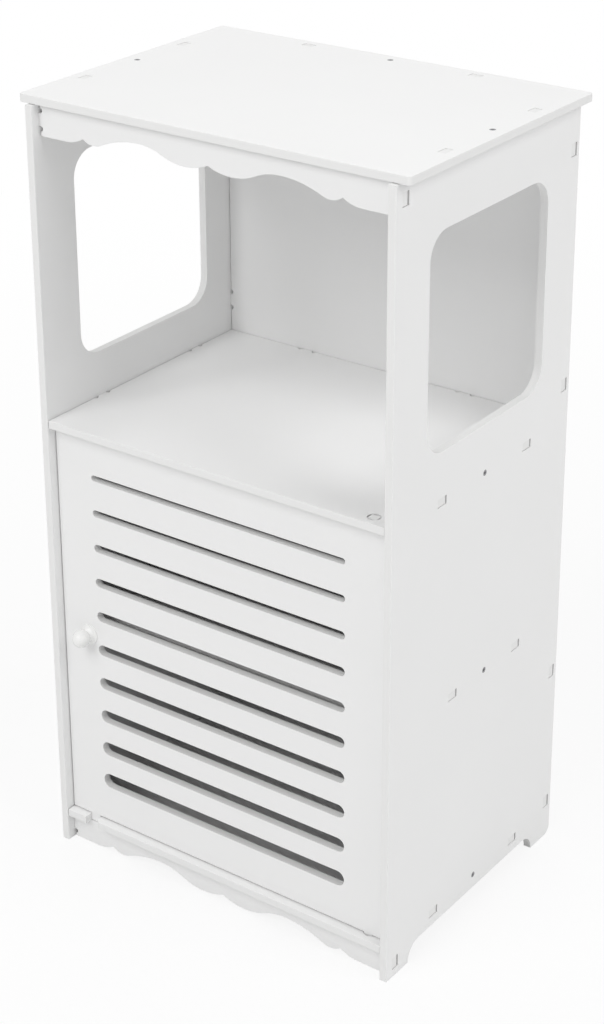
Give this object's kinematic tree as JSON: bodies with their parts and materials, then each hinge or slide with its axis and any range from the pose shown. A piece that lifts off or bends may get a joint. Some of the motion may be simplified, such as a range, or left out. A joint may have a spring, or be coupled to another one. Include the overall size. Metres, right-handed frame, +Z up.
{
  "type": "bathroom cabinet",
  "caption": "Slim white bathroom cabinet of slotted boards: an open shelf with side windows over a louvred hinged door, scalloped aprons top and bottom.",
  "frame": {"origin": "on the floor, midway between the two side panels and midway along their depth", "axes": "+X to the right as seen from the front, +Y from the door to the back panel, +Z up along the height"},
  "size_m": [0.428, 0.3182, 0.8],
  "materials": {
    "board": "satin",
    "knob": "gloss",
    "steel": "plated",
    "housing": "matte",
    "magnet": "matte"
  },
  "bodies": {
    "carcass": {"left_side_panel": "board", "right_side_panel": "board", "top_board": "board", "middle_shelf": "board", "inner_shelf": "board", "bottom_shelf": "board", "back_panel": "board", "top_apron": "board", "bottom_apron": "board", "top_screw_left": "steel", "top_screw_right": "steel", "top_screw_rear": "steel", "middle_shelf_screw_left": "steel", "middle_shelf_screw_right": "steel", "middle_shelf_screw_rear": "steel", "inner_shelf_screw_left": "steel", "inner_shelf_screw_right": "steel", "inner_shelf_screw_rear": "steel", "bottom_shelf_screw_left": "steel", "bottom_shelf_screw_right": "steel", "bottom_shelf_screw_rear": "steel", "catch_housing": "housing", "catch_magnet": "magnet", "catch_screw_1": "steel", "catch_screw_2": "steel"},
    "door": {"door_panel": "board", "door_knob": "knob", "knob_screw": "steel", "strike_plate": "steel", "strike_screw": "steel"}
  },
  "joints": [
    {"name": "door_hinge", "type": "hinge", "parent": "carcass", "child": "door", "pos_m": [0.175, -0.138, 0.2535], "axis": [0, 0, 1], "range_deg": [0, 130]}
  ]
}
